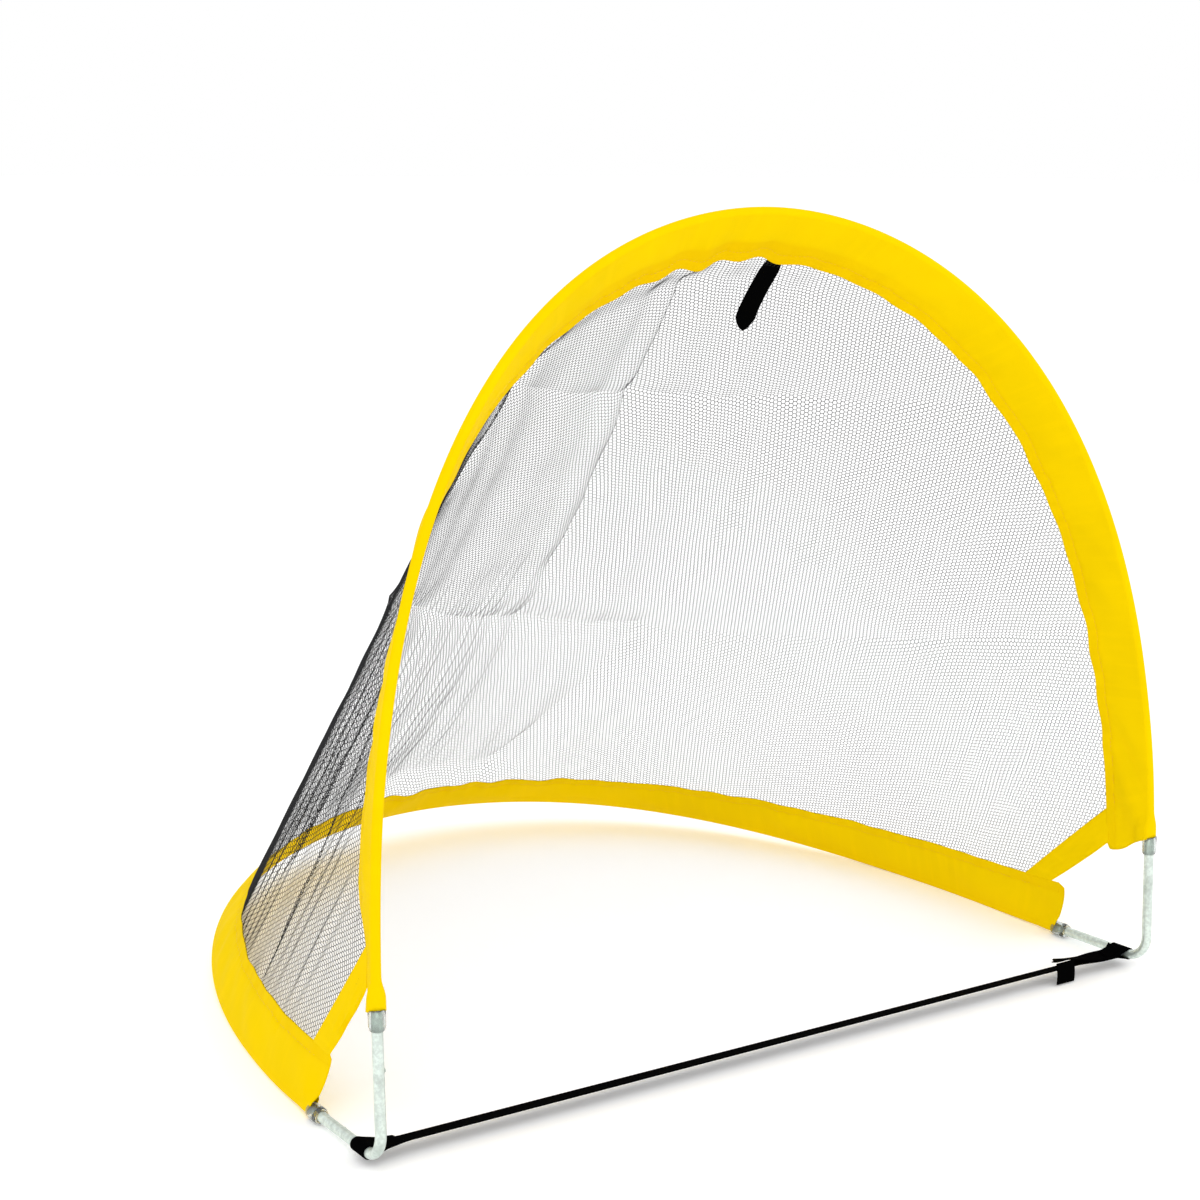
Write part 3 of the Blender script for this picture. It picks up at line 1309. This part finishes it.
def net_piece(cloth, number):
    """One panel of the net, which bends with the fold from hoop to hoop."""
    s = sizes()
    start, stop = (net_seam(cloth, 2 * (number + step) / s.net_panels - 1) for step in (0, 1))
    mesh = net_panel(cloth, f"net_{number + 1:02d}", start, stop)
    piece = add_piece(mesh.name, mesh, shared("net_thread", make_net))
    reaches = cloth.edge_at(np.linspace(start, stop, 9), s.band_width - s.tuck)
    centre = (start + stop) / 2
    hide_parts(f"net_panel_{int((centre / net_stop(cloth) + 1) / 2 * SOLID_PANELS) + 1}")
    blend_across(piece, cloth, centre, float(reaches.min()) - s.tuck)


def webbing_section():
    """A flat strap's section with round edges: across from -1 to 1, and through from -1 to 1."""
    upper = [(-1.0, 0.0), (-0.985, 0.6)]
    upper += [(wide, 1.0) for wide in np.linspace(-0.95, 0.95, 9)]
    return mirrored(upper + [(0.985, 0.6), (1.0, 0.0)])


def webbing_piece(name, cloth, centres, across, width):
    """A strap along centres, points of the feet's frame, with a unit vector across and the width at each."""
    s = sizes()
    width = np.broadcast_to(width, len(centres))
    section = webbing_section()
    walked = walked_along(np.linalg.norm(np.diff(centres, axis=0), axis=1))
    along = np.gradient(centres, walked, axis=0)
    out = np.cross(along, across)
    out /= np.linalg.norm(out, axis=1)[:, None]
    columns = len(centres) - 1

    def place(u, v):
        step = np.rint(u * columns).astype(int)
        wide, through = around(section, v)
        shift = across[step] * (wide * width[step] / 2)[:, None]
        shift += out[step] * (through * s.strap_thickness / 2)[:, None]
        return cloth.stand(*(centres[step] + shift).T)

    def pattern(u, v):
        step = np.rint(u * columns).astype(int)
        return walked[step], around(section, v)[0] * width[step] / 2

    mesh = bent_pipe(name, columns, len(section) - 1, place, pattern)
    return add_piece(name, mesh, shared("ribbed_webbing", make_webbing))


TURN_POINTS = 14


def turn_points(x, z, radius, start, end):
    """Points of an arc about a place in the plane of the feet, between two angles in degrees."""
    turned = np.radians(np.linspace(start, end, TURN_POINTS))
    return list(zip(x + radius * np.cos(turned), z + radius * np.sin(turned)))


def even_points(path, spacing):
    """A path at even spacing, with its corners eased by averaging neighbours twice."""
    path = np.array(path)
    walked = walked_along(np.linalg.norm(np.diff(path, axis=0), axis=1))
    stops = np.linspace(0, walked[-1], int(walked[-1] / spacing))
    points = np.stack([np.interp(stops, walked, column) for column in path.T], axis=-1)
    for _ in range(2):
        points[1:-1] = (points[:-2] + 2 * points[1:-1] + points[2:]) / 4
    return points


STRAP_SPACING = 0.0015
# The strap's doubled end narrows over this length, by this share of its width
END_TAPER, END_CUT = 0.022, 0.75
# How far from each foot the strap still lies flat, and the run over which it turns over there
LEFT_FLAT, LEFT_TURN = 0.012, 0.03
RIGHT_FLAT, RIGHT_TURN = 0.03, 0.05


def ground_strap_piece(cloth):
    """Webbing between the feet: a sewn loop round the left tube, and a fold round the right one."""
    s = sizes()
    half = cloth.half
    wrap = s.tube_diameter / 2 + s.gap + s.strap_thickness / 2
    low = -(s.strap_thickness + s.gap) / 2
    high = low + s.strap_thickness + s.gap
    path = [(-half + s.strap_lap, high), (-half + s.strap_nip, high)]
    path += turn_points(-half, 0, wrap, 50, 310)
    path += [(-half + s.strap_nip, low), (0, low), (half - s.strap_nip, low)]
    path += turn_points(half, 0, wrap, 230, 490)
    path += [(half - s.strap_nip, high), (half - s.strap_tail / 2, high + s.strap_thickness)]
    path.append((half - s.strap_tail, high + s.strap_flare))
    x, z = even_points(path, STRAP_SPACING).T
    from_end = np.arange(len(x))[::-1] * STRAP_SPACING
    cut = END_CUT * fade_out(from_end, END_TAPER, END_TAPER)
    centres = np.stack([x, s.strap_back - cut * s.strap_width / 2, z], axis=-1)
    turned = s.left_twist + (s.right_twist - s.left_twist) * fade_in(x, -half, 2 * half)
    twist = turned * fade_in(x + half, LEFT_FLAT, LEFT_TURN) * fade_out(x, half - RIGHT_FLAT, RIGHT_TURN)
    across = np.stack([0 * twist, np.cos(twist), -np.sin(twist)], axis=-1)
    piece = webbing_piece("webbing_strap", cloth, centres, across, s.strap_width * (1 - cut))
    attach(piece, STANDING)
    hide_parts("ground_strap")


# The loose end: its line from where it is sewn, the way across it, and its place and width beside the strap's
FLAP_OUTLINE = ((-0.012, 0.0), (-0.004, 0.001), (0.0, 0.004), (0.002, 0.007))
FLAP_ACROSS = (0.25, 0.96, 0.1)
FLAP_FORWARD = 0.003
FLAP_WIDTH = 0.7
FLAP_SPACING = 0.001
FLAP_GAP = 0.0006


def strap_flap_piece(cloth):
    """The short loose end that stands up beside the right foot."""
    s = sizes()
    base = cloth.half - s.strap_nip
    high = 3 * (s.strap_thickness + s.gap) / 2 + FLAP_GAP
    x, z = even_points([(base + out, high + up) for out, up in FLAP_OUTLINE], FLAP_SPACING).T
    centres = np.stack([x, s.strap_back - FLAP_FORWARD + 0 * x, z], axis=-1)
    across = np.tile(FLAP_ACROSS, (len(x), 1)) / np.linalg.norm(FLAP_ACROSS)
    piece = webbing_piece("strap_flap", cloth, centres, across, s.strap_width * FLAP_WIDTH)
    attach(piece, STANDING)


# How far the tab bulges forwards, and how far its lower end hangs aside
TAB_BULGE = 0.0012
TAB_DRIFT = 0.001


def strap_tab_piece(cloth):
    """The strap's fastening end, which hangs in front of the strap."""
    s = sizes()
    x = cloth.half - s.strap_tail + s.tab_width / 2
    front = s.strap_back - s.strap_width / 2 - s.gap - s.strap_thickness / 2
    drop = np.linspace(0, 1, 24)
    bulge = TAB_BULGE * np.sin(math.pi * drop)
    centres = np.stack([x + TAB_DRIFT * drop, front - bulge, s.strap_flare - s.tab_length * drop], axis=-1)
    across = np.tile((1.0, 0.0, 0.0), (len(drop), 1))
    piece = webbing_piece("fastening_tab", cloth, centres, across, s.tab_width)
    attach(piece, "strap_tab")
    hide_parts("strap_tab")


TIE_COLUMNS = 40
# How high the tie lies over the net, how far it starts and ends beside its place, and how it is gathered at
# its seam: the share of its width there, and the run over which it spreads
TIE_LIFT = 0.003
TIE_OFFSET, TIE_DRIFT = 0.001, 0.009
TIE_GATHERED, TIE_SPREAD = 0.76, 0.018
# The share of its width that its point still has at the very end
TIE_TIP = 0.08


def crown_tie_piece(cloth):
    """A webbing tie with a pointed end that lies on the net below the crown."""
    s = sizes()
    section = webbing_section()
    first_side = -float(np.interp(s.tie_arc, cloth.arc, cloth.reach)) + s.band_width + s.gap

    def place(u, v):
        wide, through = around(section, v)
        down = u * s.tie_length
        left = np.clip((s.tie_length - down) / s.tie_point, 0.0, 1)
        spread = TIE_GATHERED + (1 - TIE_GATHERED) * fade_in(down, 0, TIE_SPREAD)
        width = s.tie_width * (TIE_TIP + (1 - TIE_TIP) * left**0.6) * spread
        arc = s.tie_arc + TIE_OFFSET + TIE_DRIFT * u**4 + wide * width / 2
        side = first_side + down
        reach = cloth.edge_at(arc, s.band_width)
        lift = cloth.net_lift(arc, side, reach) + TIE_LIFT + s.strap_thickness * through / 2
        return cloth.sheet(arc, side, lift)

    def pattern(u, v):
        return u * s.tie_length, around(section, v)[0] * s.tie_width / 2

    mesh = bent_pipe("crown_tie_webbing", TIE_COLUMNS, len(section) - 1, place, pattern)
    piece = add_piece(mesh.name, mesh, shared("ribbed_webbing", make_webbing))
    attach(piece, "crown_tie")
    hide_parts("crown_tie")


# The studio: how far the floor reaches, the lamps' size, places and aim, and the camera's sensor and range
FLOOR_REACH = 30
LIGHT_SIZE = 2.0
KEY_PLACE = Vector((-1.6, -2.2, 2.8))
FILL_PLACE = Vector((2.4, -1.4, 1.8))
LIGHTS_AIM = Vector((0, 0, 0.3))
SENSOR_WIDTH = 36
CAMERA_RANGE = 100


def area_light(name, place, watts):
    """A square studio light that faces the goal."""
    light = bpy.data.lights.new(name, "AREA")
    light.energy = watts
    light.size = LIGHT_SIZE
    lamp = bpy.data.objects.new(name, light)
    lamp.location = place
    lamp.rotation_euler = (LIGHTS_AIM - place).to_track_quat("-Z", "Y").to_euler()
    bpy.context.scene.collection.objects.link(lamp)


def camera_axes(stage):
    """The camera's own axes in the feet's frame, from its yaw, pitch and roll."""
    level = math.cos(stage.pitch)
    forward = Vector((math.sin(stage.yaw) * level, math.cos(stage.yaw) * level, -math.sin(stage.pitch)))
    right = Vector((math.cos(stage.yaw), -math.sin(stage.yaw), 0))
    up = right.cross(forward)
    rolled_right = math.cos(stage.roll) * right + math.sin(stage.roll) * up
    rolled_up = math.cos(stage.roll) * up - math.sin(stage.roll) * right
    return Matrix((rolled_right, rolled_up, -forward)).transposed().to_4x4()


class GOAL_OT_stage(bpy.types.Operator):
    """Adds the floor, the lights and the camera"""

    bl_idname = "goal.stage"
    bl_label = "Stage"

    def execute(self, context):
        stage = context.scene.goal_stage
        tone = tuple(colours().floor)
        made = Shader("studio_floor", tone, 0.95, Specular_IOR_Level=0.1, Emission_Strength=0.14)
        made.link(made.tones(made.noise(made.place(), 3.0), tone, 0.995, 1.0), "Base Color")
        bm = bmesh.new()
        bmesh.ops.create_grid(bm, x_segments=1, y_segments=1, size=FLOOR_REACH)
        mesh = finish_mesh(bm, "floor")
        mesh.materials.append(made.material)
        floor = bpy.data.objects.new("floor", mesh)
        context.scene.collection.objects.link(floor)

        world = bpy.data.worlds.new("studio")
        world.use_nodes = True
        background = world.node_tree.nodes["Background"]
        background.inputs["Color"].default_value = (1, 1, 1, 1)
        background.inputs["Strength"].default_value = stage.sky
        context.scene.world = world
        context.scene.view_settings.view_transform = "Standard"
        area_light("key", KEY_PLACE, stage.key)
        area_light("fill", FILL_PLACE, stage.fill)

        data = bpy.data.cameras.new("camera")
        data.lens = stage.lens
        data.sensor_width = SENSOR_WIDTH
        data.clip_end = CAMERA_RANGE
        camera = bpy.data.objects.new("camera", data)
        camera.matrix_world = Cloth().matrix() @ Matrix.Translation(Vector(stage.eye)) @ camera_axes(stage)
        context.scene.collection.objects.link(camera)
        context.scene.camera = camera
        return {"FINISHED"}


class GOAL_OT_feet(bpy.types.Operator):
    """Adds the bent tubes, their clear bushes and the rivets"""

    bl_idname = "goal.feet"
    bl_label = "Feet"

    def execute(self, context):
        cloth = Cloth()
        for side in (-1, 1):
            foot_tube(cloth, side)
            for face in (FRONT, REAR):
                bush_piece(cloth, side, face)
                rivet_piece(cloth, side, face)
        return {"FINISHED"}


class GOAL_OT_rods(bpy.types.Operator):
    """Adds the two hooped rods"""

    bl_idname = "goal.rods"
    bl_label = "Rods"

    def execute(self, context):
        cloth = Cloth()
        rear = rod_piece(cloth, REAR)
        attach(rear, STANDING)
        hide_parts("rear_rod")
        front = rod_piece(cloth, FRONT)
        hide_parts("front_rod", "front_left_rod_end", "front_right_rod_end")
        bend_at_foot(front, cloth)
        return {"FINISHED"}


class GOAL_OT_sleeves(bpy.types.Operator):
    """Adds the cloth sleeves and their stitching"""

    bl_idname = "goal.sleeves"
    bl_label = "Sleeves"

    def execute(self, context):
        cloth = Cloth()
        for make in (sleeve_piece, stitch_piece):
            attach(make(cloth, REAR), STANDING)
            bend_at_foot(make(cloth, FRONT), cloth)
        return {"FINISHED"}


class GOAL_OT_bindings(bpy.types.Operator):
    """Adds the bindings on the net's lower corners"""

    bl_idname = "goal.bindings"
    bl_label = "Corner bindings"

    def execute(self, context):
        cloth = Cloth()
        for side in (-1, 1):
            binding_piece(cloth, side)
        return {"FINISHED"}


class GOAL_OT_net(bpy.types.Operator):
    """Adds the net, in panels that bend with the fold"""

    bl_idname = "goal.net"
    bl_label = "Net"

    def execute(self, context):
        cloth = Cloth()
        for number in range(sizes().net_panels):
            net_piece(cloth, number)
        return {"FINISHED"}


class GOAL_OT_straps(bpy.types.Operator):
    """Adds the ground strap, its flap and its fastening tab"""

    bl_idname = "goal.straps"
    bl_label = "Ground strap"

    def execute(self, context):
        cloth = Cloth()
        ground_strap_piece(cloth)
        strap_flap_piece(cloth)
        strap_tab_piece(cloth)
        return {"FINISHED"}


class GOAL_OT_tie(bpy.types.Operator):
    """Adds the tie below the crown"""

    bl_idname = "goal.tie"
    bl_label = "Crown tie"

    def execute(self, context):
        crown_tie_piece(Cloth())
        return {"FINISHED"}


OPERATORS = (
    GOAL_OT_stage,
    GOAL_OT_feet,
    GOAL_OT_rods,
    GOAL_OT_sleeves,
    GOAL_OT_bindings,
    GOAL_OT_net,
    GOAL_OT_straps,
    GOAL_OT_tie,
)


class GOAL_PT_build(bpy.types.Panel):
    """Lists the goal's pieces in the order that they are built"""

    bl_idname = "GOAL_PT_build"
    bl_label = "Folding soccer goal"
    bl_space_type = "VIEW_3D"
    bl_region_type = "UI"
    bl_category = "Goal"

    def draw(self, context):
        for operator in OPERATORS:
            self.layout.operator(operator.bl_idname)


CLASSES = (GoalSizes, GoalColours, GoalStage, *OPERATORS, GOAL_PT_build)


def register():
    for made in CLASSES:
        bpy.utils.register_class(made)
    bpy.types.Scene.goal_sizes = PointerProperty(type=GoalSizes)
    bpy.types.Scene.goal_colours = PointerProperty(type=GoalColours)
    bpy.types.Scene.goal_stage = PointerProperty(type=GoalStage)


def unregister():
    del bpy.types.Scene.goal_stage
    del bpy.types.Scene.goal_colours
    del bpy.types.Scene.goal_sizes
    for made in reversed(CLASSES):
        bpy.utils.unregister_class(made)


def main():
    register()
    bpy.ops.goal.stage()
    bpy.ops.goal.feet()
    bpy.ops.goal.rods()
    bpy.ops.goal.sleeves()
    bpy.ops.goal.bindings()
    bpy.ops.goal.net()
    bpy.ops.goal.straps()
    bpy.ops.goal.tie()


if __name__ == "__main__":
    main()
